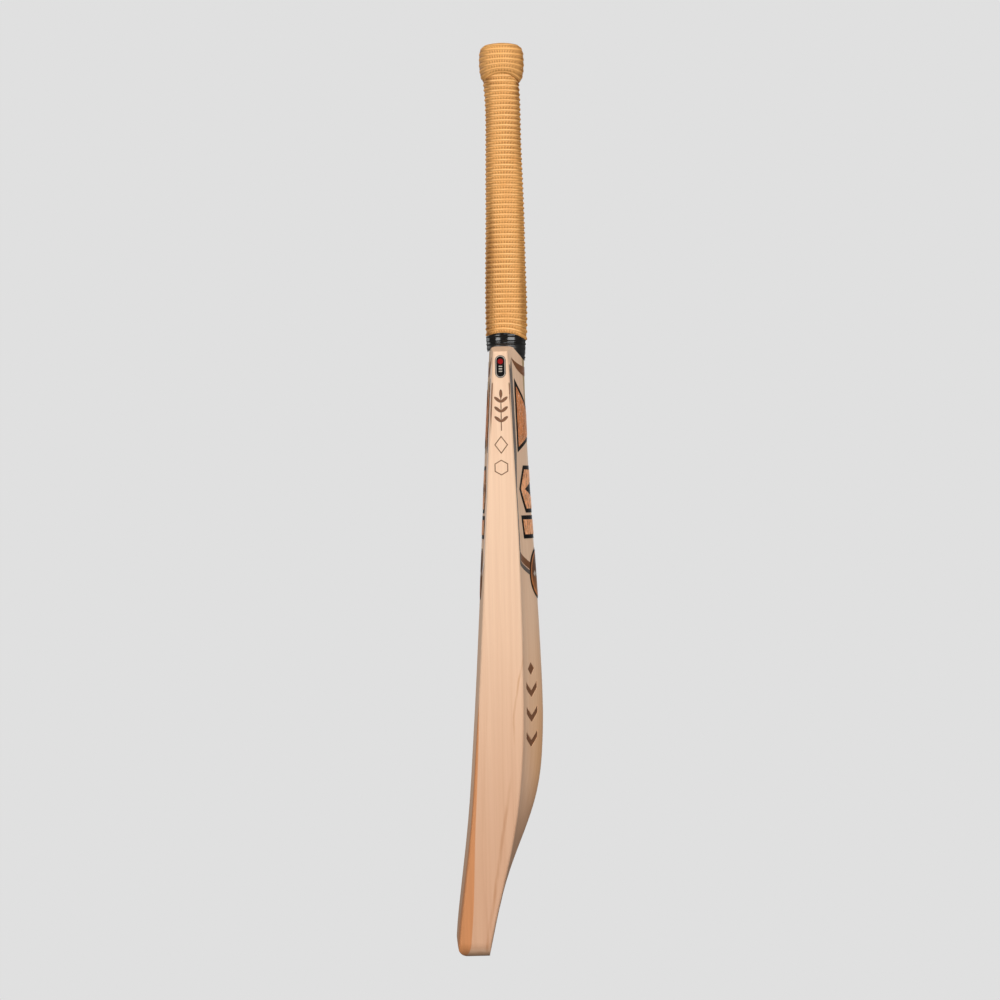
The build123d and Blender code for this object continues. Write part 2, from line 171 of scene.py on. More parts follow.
class StageSettings(bpy.types.PropertyGroup):
    """Camera, lights and floor."""

    distance: length_property("Distance", "From the camera to the bat", 2.7)
    field: length_property("Field", "Width of the view at the bat", 0.9394)
    yaw: angle_property("Yaw", "Turn of the camera towards the hitting face", math.radians(1.9))
    roll: angle_property("Roll", "Lean of the handle to the left in the view", math.radians(1.1))
    aim_y: length_property("Aim across", "Middle of the view, from the toe to the back", 29.85 * MM)
    aim_z: length_property("Aim up", "Middle of the view, above the toe", 0.4212)
    backdrop: colour_property("Backdrop", "Colour of the floor and the backdrop", (0.7454, 0.7454, 0.7454))
    floor_light: bpy.props.FloatProperty(name="Floor light", description="Floor's light on the bat", default=0.20)
    world_light: bpy.props.FloatProperty(name="World light", description="Backdrop's light on the bat", default=0.12)


# ---------------------------------------------------------------- node helpers


def add_node(tree, kind, inputs=None, **settings):
    """A shader node with its settings, whose inputs are constants or the sockets that feed them."""
    node = tree.nodes.new("ShaderNode" + kind)
    for name, value in settings.items():
        setattr(node, name, value)
    for key, value in (inputs or {}).items():
        if isinstance(value, bpy.types.NodeSocket):
            tree.links.new(value, node.inputs[key])
        else:
            node.inputs[key].default_value = value
    return node


def calc(tree, operation, *values, clamp=False):
    """The result of one Math node."""
    node = add_node(tree, "Math", dict(enumerate(values)), operation=operation, use_clamp=clamp)
    return node.outputs[0]


def product(tree, *factors):
    """The product of sockets and numbers."""
    result = factors[0]
    for factor in factors[1:]:
        result = calc(tree, "MULTIPLY", result, factor)
    return result


def from_middle(tree, value, middle):
    """How far a value is from a middle, either way."""
    return calc(tree, "ABSOLUTE", calc(tree, "SUBTRACT", value, middle))


def smooth_step(tree, value, low, high):
    """0 below low and 1 above high, smoothly between. low may be the larger."""
    node = add_node(
        tree,
        "MapRange",
        {"Value": value, "From Min": low, "From Max": high, "To Min": 0.0, "To Max": 1.0},
        interpolation_type="SMOOTHSTEP",
    )
    return node.outputs["Result"]


def between(tree, value, low, high, soft):
    """1 from low to high, with ends that fade over soft inside them."""
    return product(tree, smooth_step(tree, value, low, low + soft), smooth_step(tree, value, high, high - soft))


def blend_colour(tree, factor, below, above, mode="MIX"):
    """Two colours mixed by a factor. Either may be a socket or three numbers."""
    node = tree.nodes.new("ShaderNodeMix")
    node.data_type = "RGBA"
    node.blend_type = mode
    sockets = [s for s in node.inputs if s.enabled]
    for socket, value in zip((sockets[0], *sockets[1:3]), (factor, below, above)):
        if isinstance(value, bpy.types.NodeSocket):
            tree.links.new(value, socket)
        elif isinstance(value, (int, float)):
            socket.default_value = value
        else:
            socket.default_value = (*value, 1)
    return next(s for s in node.outputs if s.enabled)


def tint(tree, colour, factor, by):
    """A colour multiplied by another as far as the factor says."""
    return blend_colour(tree, factor, colour, by, mode="MULTIPLY")


def shaded(tree, colour, shade):
    """A colour made darker or paler by one number."""
    grey = add_node(tree, "CombineColor", {"Red": shade, "Green": shade, "Blue": shade}).outputs[0]
    return tint(tree, colour, 1.0, grey)


def object_position(tree, scale=(1, 1, 1), turn=(0, 0, 0)):
    """The point's place in the object, turned and then scaled."""
    where = add_node(tree, "TexCoord").outputs["Object"]
    if tuple(scale) == (1, 1, 1) and tuple(turn) == (0, 0, 0):
        return where
    node = add_node(tree, "Mapping", {"Vector": where, "Rotation": turn, "Scale": scale})
    return node.outputs[0]


def place_parts(tree):
    """The point's x, y and z in the object."""
    return add_node(tree, "SeparateXYZ", {"Vector": object_position(tree)}).outputs


def noise(tree, scale, detail=3.0, roughness=0.5, turn=(0, 0, 0)):
    """A noise value from 0 to 1. scale is its features to the metre, one number or one for each axis."""
    even = isinstance(scale, (int, float))
    vector = object_position(tree) if even else object_position(tree, scale, turn)
    inputs = {"Vector": vector, "Scale": float(scale) if even else 1.0, "Detail": detail, "Roughness": roughness}
    return add_node(tree, "TexNoise", inputs).outputs["Fac"]


def raised(tree, height, distance, strength=1.0):
    """A normal bumped by height, which is 1 at distance metres."""
    return add_node(tree, "Bump", {"Height": height, "Distance": distance, "Strength": strength}).outputs["Normal"]


def new_material(name, **constants):
    """A material with one Principled BSDF, whose constants are set on its own sockets."""
    material = bpy.data.materials.new(name)
    material.use_nodes = True
    tree = material.node_tree
    tree.nodes.clear()
    shader = add_node(tree, "BsdfPrincipled")
    output = add_node(tree, "OutputMaterial")
    tree.links.new(shader.outputs[0], output.inputs[0])
    for key, value in constants.items():
        shader.inputs[key.replace("_", " ")].default_value = value
    return material, tree, shader


def feed(tree, shader, **links):
    """Joins sockets to the shader's inputs."""
    for key, socket in links.items():
        tree.links.new(socket, shader.inputs[key.replace("_", " ")])


def paint(node_name, material):
    """Gives a node of the frame its material."""
    slots = NODES[node_name].data.materials
    slots.clear()
    slots.append(material)


# ---------------------------------------------------------------- materials


def willow_material(s):
    """Pressed and oiled willow: straight grain, fine fibre, tints towards the toe, heartwood and burnt marks."""
    material, tree, shader = new_material("willow", Roughness=0.5, Specular_IOR_Level=0.35)
    x, y, z = place_parts(tree)
    wander = noise(tree, (14, 14, 1.6), detail=2.0)
    wander = calc(tree, "MULTIPLY", calc(tree, "SUBTRACT", wander, 0.5), 0.030)
    fibre = noise(tree, (1500, 1500, 26), detail=3.0, roughness=0.65)
    clouds = noise(tree, (9, 9, 3), detail=3.0)

    late_wood = grain_lines(tree, x, y, wander, s.ring)
    stripes = noise(tree, (150, 240, 2.2), turn=(0, 0, 0.3), detail=2.0, roughness=0.6)
    stripes = smooth_step(tree, stripes, 0.30, 0.72)
    depth = calc(tree, "MULTIPLY_ADD", late_wood, 0.32, calc(tree, "MULTIPLY", stripes, 0.36))
    colour = blend_colour(tree, calc(tree, "MINIMUM", depth, 1.0), s.pale, s.grain)
    colour = toe_tints(tree, colour, clouds, s)
    colour = tint(tree, colour, figure_lines(tree, x, y, z), s.figure)

    heart_tone = noise(tree, (300, 420, 5), detail=3.0)
    heart_colour = blend_colour(tree, heart_tone, s.heart, [c * 0.72 for c in s.heart])
    colour = blend_colour(tree, heartwood_mask(tree, x, y, z, wander), colour, heart_colour)

    char = noise(tree, (700, 700, 160), detail=4.0, roughness=0.7)
    burnt_colour = blend_colour(tree, char, [c * 0.7 for c in s.burnt], [c * 1.7 for c in s.burnt])
    colour = blend_colour(tree, burnt_mask(tree, x, y, z), colour, burnt_colour)

    shade = calc(tree, "MULTIPLY_ADD", fibre, 0.12, 0.94)
    shade = product(tree, shade, calc(tree, "MULTIPLY_ADD", clouds, 0.14, 0.93))
    rough = calc(tree, "MULTIPLY_ADD", fibre, 0.16, 0.42)
    relief = calc(tree, "MULTIPLY_ADD", fibre, 0.7, calc(tree, "MULTIPLY", late_wood, 0.3))
    normal = raised(tree, relief, 0.06 * MM, 0.55)
    feed(tree, shader, Base_Color=shaded(tree, colour, shade), Roughness=rough, Normal=normal)
    return material


def grain_lines(tree, x, y, wander, ring):
    """0 to 1 across each yearly ring: late wood darkens slowly and ends sharply."""
    leaning = calc(tree, "MULTIPLY_ADD", y, 0.42, x)
    saw = calc(tree, "FRACT", calc(tree, "DIVIDE", calc(tree, "ADD", leaning, wander), ring))
    return product(tree, calc(tree, "POWER", saw, 3.0), smooth_step(tree, saw, 1.0, 0.93))


def toe_tints(tree, colour, clouds, s):
    """The wood's colour, tinted low on the blade and on the spine, darker in cloudy patches on the face near the toe,
    and with painted shade on the back near the toe.
    """
    x, y, z = place_parts(tree)
    on_edge = smooth_step(tree, x, EDGE_X - 3 * MM, EDGE_X - 0.5 * MM)
    low_down = product(tree, smooth_step(tree, z, 0.44, 0.03), calc(tree, "MULTIPLY_ADD", on_edge, 0.5, 0.5))
    colour = tint(tree, colour, low_down, s.low)
    near_spine = product(tree, smooth_step(tree, y, 44 * MM, 64 * MM), smooth_step(tree, z, 0.34, 0.16))
    colour = tint(tree, colour, near_spine, s.back)

    face_y, back_y = 16 * MM, 22 * MM  # the face's darker patches end and the back's painted shade begins between these
    face_foot = product(tree, smooth_step(tree, z, 0.22, 0.0), smooth_step(tree, y, back_y, face_y))
    face_foot = calc(tree, "MULTIPLY", face_foot, calc(tree, "MULTIPLY_ADD", clouds, 0.9, 0.35), clamp=True)
    # painted shade low on the back, off the right edge
    back_foot_shade = product(tree, smooth_step(tree, z, 0.175, 0.10), smooth_step(tree, y, face_y, back_y))
    off_edge = smooth_step(tree, x, EDGE_X - 1.5 * MM, EDGE_X - 4.5 * MM)
    return tint(tree, colour, product(tree, calc(tree, "MAXIMUM", face_foot, back_foot_shade), off_edge), s.scuffed)


def heartwood_mask(tree, x, y, z, wander):
    """1 in the heartwood: a strip beside the hitting face, near the toe."""
    border = calc(tree, "MULTIPLY_ADD", z, 0.092, -9.3 * MM)
    border = calc(tree, "SUBTRACT", border, product(tree, calc(tree, "MULTIPLY", z, z), 0.13))
    border = calc(tree, "MULTIPLY_ADD", smooth_step(tree, z, 0.125, 0.03), 2.4 * MM, border)
    inset = product(tree, calc(tree, "SUBTRACT", EDGE_X, x), 0.45)
    side = calc(tree, "ADD", calc(tree, "SUBTRACT", y, border), inset)
    side = calc(tree, "MULTIPLY_ADD", wander, 0.12, side)
    return smooth_step(tree, side, 0.35 * MM, -0.35 * MM)


def figure_lines(tree, x, y, z):
    """1 on two soft dark lines in the wood of the right edge: a bent one and a slanting one below it."""
    wobble = noise(tree, (60, 60, 34), detail=3.0)
    wobble = calc(tree, "MULTIPLY", calc(tree, "SUBTRACT", wobble, 0.5), 3.0 * MM)
    fade = noise(tree, (30, 200, 24), detail=2.0)
    bend = calc(tree, "DIVIDE", calc(tree, "SUBTRACT", z, 0.204), 0.069)
    bend = calc(tree, "MULTIPLY_ADD", calc(tree, "MULTIPLY", bend, bend), 9.6 * MM, 36.8 * MM)
    upper = calc(tree, "ABSOLUTE", calc(tree, "ADD", calc(tree, "SUBTRACT", y, bend), wobble))
    upper = product(tree, smooth_step(tree, upper, 1.3 * MM, 0.2 * MM), smooth_step(tree, z, 0.190, 0.215))
    slant = calc(tree, "MULTIPLY_ADD", z, 0.158, 7.3 * MM)
    lower = calc(tree, "ABSOLUTE", calc(tree, "ADD", calc(tree, "SUBTRACT", y, slant), wobble))
    lower = product(tree, smooth_step(tree, lower, 2.2 * MM, 0.2 * MM), smooth_step(tree, z, 0.175, 0.130))
    both = product(tree, calc(tree, "MAXIMUM", upper, lower), smooth_step(tree, fade, 0.25, 0.6))
    return product(tree, both, smooth_step(tree, x, EDGE_X - 6 * MM, EDGE_X - 1 * MM))


def burnt_mask(tree, x, y, z):
    """1 in the floor of the burnt marks on the right edge and the right flank."""
    in_depth = smooth_step(tree, x, EDGE_X - 0.05 * MM, EDGE_X - 0.22 * MM)
    near_edge = smooth_step(tree, x, EDGE_X - 0.9 * MM, EDGE_X - 0.7 * MM)
    along = between(tree, z, 438 * MM, 530 * MM, 2 * MM)
    across = between(tree, y, 20.5 * MM, 39.5 * MM, 0.5 * MM)
    edge = product(tree, product(tree, in_depth, near_edge), product(tree, along, across))

    middle, half_width = 30 * MM, 11 * MM  # of the flank's marks
    foot, rise, bar, step, soft = 191 * MM, 57 * MM, 7 * MM, 23 * MM, 0.25 * MM
    diamond_z, diamond_reach = 264 * MM, 6.5 * MM
    aside = from_middle(tree, x, middle)
    fallen = calc(tree, "SUBTRACT", z, calc(tree, "MULTIPLY", aside, 9 / 11))
    climb = calc(tree, "SUBTRACT", fallen, foot)
    chevrons = product(
        tree,
        between(tree, calc(tree, "MODULO", climb, step), 0, bar, soft),
        calc(tree, "GREATER_THAN", climb, 0),
        calc(tree, "LESS_THAN", climb, rise),
        smooth_step(tree, aside, half_width, half_width - soft),
    )
    from_diamond = calc(tree, "ADD", aside, from_middle(tree, z, diamond_z))
    diamond = smooth_step(tree, from_diamond, diamond_reach, diamond_reach - soft)
    on_back = calc(tree, "GREATER_THAN", y, 30 * MM)
    flank = product(tree, calc(tree, "MAXIMUM", chevrons, diamond), on_back)
    return calc(tree, "MAXIMUM", edge, flank)


def cane_material(s):
    """Cane: fine pale pores on end grain, and long fibres on the sides."""
    material, tree, shader = new_material("cane", Roughness=0.6, Specular_IOR_Level=0.3)
    fibre = noise(tree, (1200, 1200, 30), detail=3.0)
    pores = add_node(tree, "TexVoronoi", {"Vector": object_position(tree, (1, 1, 0.02)), "Scale": 1600.0})
    pore = smooth_step(tree, pores.outputs["Distance"], 0.20, 0.38)
    tone = calc(tree, "MULTIPLY", fibre, pore)
    colour = blend_colour(tree, tone, [c * 0.45 for c in s.cane], s.cane)
    feed(tree, shader, Base_Color=colour, Normal=raised(tree, tone, 0.08 * MM))
    return material


def spring_material(s):
    """Black gum rubber."""
    material, tree, shader = new_material("spring_rubber", Roughness=0.7, Specular_IOR_Level=0.4)
    grit = noise(tree, 1800.0, detail=4.0)
    colour = blend_colour(tree, grit, [c * 0.6 for c in s.spring], [c * 1.5 for c in s.spring])
    feed(tree, shader, Base_Color=colour, Normal=raised(tree, grit, 0.05 * MM))
    return material


def twine_material(s):
    """Waxed thread wound edge to edge, with painted shade between the turns."""
    material, tree, shader = new_material("twine", Roughness=0.55, Specular_IOR_Level=0.4)
    thread = 0.8 * MM
    turn = calc(tree, "FRACT", calc(tree, "DIVIDE", place_parts(tree)[2], thread))
    round_thread = calc(tree, "SINE", calc(tree, "MULTIPLY", turn, math.pi))
    fluff = noise(tree, (900, 900, 2400), detail=3.0)
    height = calc(tree, "MULTIPLY_ADD", fluff, 0.25, round_thread)
    # darker between the turns as painted shade, with the fluff's random tone
    colour = blend_colour(tree, height, [c * 0.5 for c in s.twine], s.twine)
    feed(tree, shader, Base_Color=colour, Normal=raised(tree, height, 0.3 * MM))
    return material


def binding_material(s):
    """Glossy black tape, a little uneven where it was pulled tight."""
    material, tree, shader = new_material("binding", Roughness=0.16, Specular_IOR_Level=0.6)
    pull = noise(tree, (160, 160, 520), detail=3.0)
    grain = noise(tree, (1500, 1500, 2600), detail=2.0)
    colour = blend_colour(tree, pull, [c * 0.6 for c in s.binding], [c * 1.8 for c in s.binding])
    scuffed = smooth_step(tree, place_parts(tree)[2], 568.0 * MM, 565.5 * MM)
    rough = calc(tree, "MULTIPLY_ADD", pull, 0.14, calc(tree, "MULTIPLY_ADD", scuffed, 0.20, 0.08))
    relief = calc(tree, "MULTIPLY_ADD", grain, 0.12, pull)
    feed(tree, shader, Base_Color=colour, Roughness=rough, Normal=raised(tree, relief, 0.12 * MM, 0.5))
    return material


def grip_material(s, name, studs, half, shine):
    """Moulded rubber with painted light: a painted highlight on the ribs, painted shade in the leaning cuts between the
    studs and under the ribs, and painted shade towards the front and the back.

    half is about half the sleeve's depth, and shine is how strongly the painted highlight on the ribs' tops shows.
    """
    material, tree, shader = new_material(name, Roughness=0.5, Specular_IOR_Level=0.3)
    x, y, _ = place_parts(tree)
    aside = calc(tree, "SUBTRACT", y, AXIS_Y + 0.7 * MM)
    phase = calc(tree, "FRACT", add_node(tree, "Attribute", attribute_name="turns").outputs["Fac"])
    texture = add_node(tree, "Attribute", attribute_name="texture").outputs["Fac"]

    def band(middle, half_width):
        """1 in a row round the grip, that far up each pitch."""
        return smooth_step(tree, from_middle(tree, phase, middle), half_width, half_width * 0.4)

    around = calc(tree, "MULTIPLY", calc(tree, "ARCTAN2", aside, x), float(studs))
    lean = calc(tree, "MINIMUM", calc(tree, "MAXIMUM", calc(tree, "MULTIPLY", aside, -LEAN_RISE / half), -1.0), 1.0)
    lean = calc(tree, "MULTIPLY", lean, s.lean)
    wave = calc(tree, "COSINE", calc(tree, "SUBTRACT", around, calc(tree, "MULTIPLY", phase, lean)))
    skin = noise(tree, 2600.0, detail=3.0, roughness=0.6)
    wear = noise(tree, (60, 60, 90), detail=4.0)
    row = band(STUD_MIDDLE, STUD_HALF)
    # painted shade in the leaning cuts between the studs, varied by the wear noise
    cut = calc(tree, "MULTIPLY", smooth_step(tree, wave, -0.35, 0.75), row)
    cut = calc(tree, "MULTIPLY", cut, calc(tree, "MULTIPLY_ADD", wear, 0.9, 0.45), clamp=True)
    # painted shade in a band just below each rib
    under = calc(tree, "MULTIPLY", band(RIB_MIDDLE - 0.17, 0.13), 0.40)
    dark = calc(tree, "MULTIPLY", calc(tree, "MAXIMUM", cut, under), texture)
    # painted highlight along each rib, in patches of the wear noise and as strong as shine says
    worn = calc(tree, "MULTIPLY", smooth_step(tree, wear, 0.30, 0.55), shine)
    crest_highlight = calc(tree, "MULTIPLY", calc(tree, "MULTIPLY", band(RIB_MIDDLE, 0.12), texture), worn)
    colour = blend_colour(tree, crest_highlight, s.rubber, s.crest_highlight)
    colour = blend_colour(tree, dark, colour, s.groove_shade)
    # painted shade on the sides towards the front and the back, sparing the studs' tops
    side = smooth_step(tree, calc(tree, "ABSOLUTE", aside), half * 0.62, half * 0.98)
    tops = calc(tree, "MULTIPLY", smooth_step(tree, wave, 0.1, -0.7), row)
    side = calc(tree, "MULTIPLY", side, calc(tree, "MULTIPLY_ADD", tops, -0.95, 1.0))
    colour = tint(tree, colour, side, s.painted_side_shade)
    shade = calc(tree, "MULTIPLY_ADD", wear, 0.16, 0.92)
    shade = calc(tree, "MULTIPLY", shade, calc(tree, "MULTIPLY_ADD", skin, 0.10, 0.95))
    rough = calc(tree, "MULTIPLY_ADD", dark, 0.14, 0.50)
    normal = raised(tree, calc(tree, "MULTIPLY_ADD", dark, -8.0, skin), 0.05 * MM, 0.6)
    feed(tree, shader, Base_Color=shaded(tree, colour, shade), Roughness=rough, Normal=normal)
    return material


def print_material(name, colour, spread=0.12, gloss=0.45, sheen=0.10):
    """A flat ink on vinyl film, with the film's faint orange peel and small changes of tone."""
    material, tree, shader = new_material(name, Roughness=gloss, Specular_IOR_Level=sheen)
    tone = noise(tree, (60, 60, 24), detail=3.0)
    peel = noise(tree, 900.0, detail=2.0)
    darker = [c * (1 - spread) for c in colour]
    lighter = [min(1, c * (1 + spread)) for c in colour]
    toned = blend_colour(tree, tone, darker, lighter)
    rough = calc(tree, "MULTIPLY_ADD", tone, 0.12, gloss - 0.06)
    feed(tree, shader, Base_Color=toned, Roughness=rough, Normal=raised(tree, peel, 0.03 * MM, 0.4))
    return material


def badge_material(s, name, middle):
    """The badge's ink: brown that warms towards the foot, with a copper ring and a row of small pale lozenges."""
    material, tree, shader = new_material(name, Roughness=0.45, Specular_IOR_Level=0.08)
    x, _, z = place_parts(tree)
    drop = calc(tree, "SUBTRACT", z, middle.z)
    radius = calc(tree, "SQRT", calc(tree, "ADD", calc(tree, "MULTIPLY", x, x), calc(tree, "MULTIPLY", drop, drop)))
    warm = smooth_step(tree, drop, 6 * MM, -18 * MM)
    grain = noise(tree, (260, 260, 110), detail=4.0, roughness=0.7)
    warm = calc(tree, "MULTIPLY", warm, smooth_step(tree, grain, 0.2, 0.6))
    colour = blend_colour(tree, warm, [c * 0.55 for c in s.brown], s.glow)
    ring = from_middle(tree, radius, s.ring_radius)
    colour = blend_colour(tree, smooth_step(tree, ring, 0.75 * MM, 0.45 * MM), colour, s.deep_copper)
    spacing, row_reach = 8 * MM, 16 * MM
    aside = from_middle(tree, calc(tree, "MODULO", calc(tree, "ABSOLUTE", x), spacing), spacing / 2)
    from_lozenge = calc(tree, "MULTIPLY_ADD", aside, 0.8, calc(tree, "ABSOLUTE", drop))
    lozenge = smooth_step(tree, from_lozenge, 3.2 * MM, 2.8 * MM)
    lozenge = product(tree, lozenge, calc(tree, "LESS_THAN", radius, row_reach))
    colour = blend_colour(tree, lozenge, colour, s.white)
    feed(tree, shader, Base_Color=colour, Normal=raised(tree, grain, 0.03 * MM, 0.4))
    return material


def copper_material(s):
    """An ink that copies cork-like wood in copper: short upright flecks and small bright specks."""
    material, tree, shader = new_material("copper_print", Roughness=0.45, Specular_IOR_Level=0.08)
    flecks = noise(tree, (420, 420, 150), detail=4.0, roughness=0.7)
    specks = noise(tree, (800, 800, 480), detail=2.0)
    waves = noise(tree, (90, 90, 10), detail=3.0)
    dark = smooth_step(tree, flecks, 0.56, 0.36)
    bright = smooth_step(tree, specks, 0.58, 0.70)
    upper = smooth_step(tree, place_parts(tree)[2], 0.44, 0.49)
    colour = blend_colour(tree, upper, s.copper, s.deep_copper)
    colour = shaded(tree, colour, calc(tree, "MULTIPLY_ADD", waves, 0.36, 0.80))
    colour = blend_colour(tree, calc(tree, "MULTIPLY", dark, 0.75), colour, s.fleck)
    colour = blend_colour(tree, calc(tree, "MULTIPLY", bright, 0.75), colour, s.speck)
    feed(tree, shader, Base_Color=colour, Normal=raised(tree, flecks, 0.03 * MM, 0.4))
    return material


# ---------------------------------------------------------------- modelling helpers


def deselect_all():
    """Nothing selected, so that an operator acts only on what is picked next."""
    if bpy.context.mode != "OBJECT":
        bpy.ops.object.mode_set(mode="OBJECT")
    bpy.ops.object.select_all(action="DESELECT")


def frame_tree(name):
    """A search tree over one node of the frame."""
    mesh = NODES[name].data
    return BVHTree.FromPolygons([v.co for v in mesh.vertices], [p.vertices[:] for p in mesh.polygons])


def reach(tree, direction, height):
    """How far the frame's surface stands from the handle's axis, that way, at that height."""
    axis = Vector((0, AXIS_Y, height))
    far = 0.1
    hit = tree.ray_cast(axis + direction * far, -direction)
    return far - hit[3]


def wrapped_tube(name, columns, rows, place):
    """A grid rolled into a tube: place(angle, share) gives each point, its count of pitches and its texture, 0 to 1."""
    deselect_all()
    bpy.ops.mesh.primitive_grid_add(x_subdivisions=columns, y_subdivisions=rows, size=1)
    tube = bpy.context.object
    tube.name = name
    tube.data.name = name
    turns = tube.data.attributes.new("turns", "FLOAT", "POINT")
    texture = tube.data.attributes.new("texture", "FLOAT", "POINT")
    for vertex in tube.data.vertices:
        angle = (vertex.co.x + 0.5) * 2 * math.pi
        point, pitches, share = place(angle, vertex.co.y + 0.5)
        turns.data[vertex.index].value = pitches
        texture.data[vertex.index].value = share
        vertex.co = point
    bpy.ops.object.mode_set(mode="EDIT")
    bpy.ops.mesh.select_all(action="SELECT")
    bpy.ops.mesh.remove_doubles(threshold=0.01 * MM)
    bpy.ops.mesh.normals_make_consistent(inside=False)
    bpy.ops.object.mode_set(mode="OBJECT")
    bpy.ops.object.shade_smooth()
    return tube


def bump(phase, middle, half_width):
    """A smooth bump of height 1 round one place in the pitch."""
    share = min(1.0, abs(phase - middle) / half_width)
    return math.cos(share * math.pi / 2) ** 2


def rib_height(s, turns, angle, studs):
    """How far the rubber stands out at a count of pitches and an angle: a thin rib over a row of studs."""
    phase = turns % 1
    lean = s.lean * max(-1.0, min(1.0, -LEAN_RISE * math.sin(angle)))
    cut = 0.5 + 0.5 * math.cos(angle * studs - phase * lean)
    stud = bump(phase, STUD_MIDDLE, STUD_HALF) * (1 - CUT_DEPTH * cut)
    return max(s.rib * bump(phase, RIB_MIDDLE, RIB_HALF), s.stud * stud)


# ---------------------------------------------------------------- pieces


def make_grip(s):
    """The grip's sleeve: an oval tube of ribs and rows of studs over the frame's plain sleeve."""
    tree = frame_tree("grip")
    samples = 60
    low = s.hem_middle + 1 * MM
    high = GRIP_TOP - 1 * MM
    heights = [low + (high - low) * i / samples for i in range(samples + 1)]
    half_x = [reach(tree, Vector((1, 0, 0)), h) for h in heights]
    to_back = [reach(tree, Vector((0, 1, 0)), h) for h in heights]
    to_front = [reach(tree, Vector((0, -1, 0)), h) for h in heights]

    def sampled(values, height):
        position = (height - low) / (high - low) * samples
        index = max(0, min(samples - 1, math.floor(position)))
        share = max(0.0, min(1.0, position - index))
        return values[index] + (values[index + 1] - values[index]) * share

    hem_reach = 19 * MM

    def hem(y):
        """The lower hem's height: a curve through its front, middle and back."""
        along = y / hem_reach
        bow = (s.hem_front + s.hem_back) / 2 - s.hem_middle
        tilt = (s.hem_back - s.hem_front) / 2
        return s.hem_middle + tilt * along + bow * along * along

    top = GRIP_TOP + 7 * MM  # inside the collar's lip
    pitches = round((top - s.hem_middle) / s.pitch)
    settle = 30 * MM  # the rows lose the hem's curve over this height

    def place(angle, share):
        height = s.hem_middle + (top - s.hem_middle) * share
        stand = rib_height(s, share * pitches, angle, s.studs) - s.sink
        back, front = sampled(to_back, height), sampled(to_front, height)
        a = sampled(half_x, height) + stand
        b = (back + front) / 2 + stand
        x, y = a * math.cos(angle), (back - front) / 2 + b * math.sin(angle)
        fade = max(0.0, 1 - (height - s.hem_middle) / settle) ** 2
        height += (hem(y) - s.hem_middle) * fade
        return Vector((x, AXIS_Y + y, height)), share * pitches, 1.0

    grip = wrapped_tube("ribbed_grip", s.studs * COLUMNS_PER_STUD, pitches * ROWS_PER_PITCH, place)
    turn_in_foot(grip)
    grip.data.materials.append(grip_material(s, "grip_rubber", s.studs, 15.5 * MM, 1.0))
    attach(grip, "root")
    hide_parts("grip")
    return grip


def turn_in_foot(tube):
    """Turns a tube's open lower end in towards the handle, so that the rubber shows its thickness."""
    deselect_all()
    tube.select_set(True)
    bpy.context.view_layer.objects.active = tube
    bpy.ops.object.mode_set(mode="EDIT")
    bpy.ops.mesh.select_mode(type="EDGE")
    bpy.ops.mesh.select_all(action="DESELECT")
    bpy.ops.object.mode_set(mode="OBJECT")
    mesh = tube.data
    middle = sum(v.co.z for v in mesh.vertices) / len(mesh.vertices)
    uses = {}
    for polygon in mesh.polygons:
        for key in polygon.edge_keys:
            uses[key] = uses.get(key, 0) + 1
    for edge in mesh.edges:
        if uses[edge.key] == 1:
            edge.select = mesh.vertices[edge.vertices[0]].co.z < middle
    bpy.ops.object.mode_set(mode="EDIT")
    for scale, lift in ((0.965, -0.25), (0.93, 0.1), (0.915, 1.6)):
        bpy.ops.mesh.extrude_region_move()
        bpy.ops.transform.resize(value=(scale, scale, 1), center_override=(0, AXIS_Y, 0))
        bpy.ops.transform.translate(value=(0, 0, lift * MM))
    bpy.ops.mesh.select_all(action="SELECT")
    bpy.ops.mesh.normals_make_consistent(inside=False)
    bpy.ops.object.mode_set(mode="OBJECT")


def smooth_path(points, count):
    """count + 1 evenly spaced points, with their outward normals, on a smooth curve through points."""
    steps = 24
    dense = []
    ends = [points[0] * 2 - points[1], *points, points[-1] * 2 - points[-2]]
    for p0, p1, p2, p3 in zip(ends, ends[1:], ends[2:], ends[3:]):
        slope = p2 - p0
        square = 2 * p0 - 5 * p1 + 4 * p2 - p3
        cube = 3 * p1 - p0 - 3 * p2 + p3
        for i in range(steps):
            t = i / steps
            dense.append(0.5 * (2 * p1 + slope * t + square * t * t + cube * t**3))
    dense.append(points[-1])
    lengths = [0.0]
    for a, b in zip(dense, dense[1:]):
        lengths.append(lengths[-1] + (b - a).length)
    path = []
    segment = 0
    for i in range(count + 1):
        target = lengths[-1] * i / count
        while segment < len(dense) - 2 and lengths[segment + 1] < target:
            segment += 1
        span = max(lengths[segment + 1] - lengths[segment], 1e-9)
        share = (target - lengths[segment]) / span
        a, b = dense[segment], dense[segment + 1]
        along = (b - a).normalized()
        path.append((a + (b - a) * share, Vector((along.y, -along.x))))
    return path


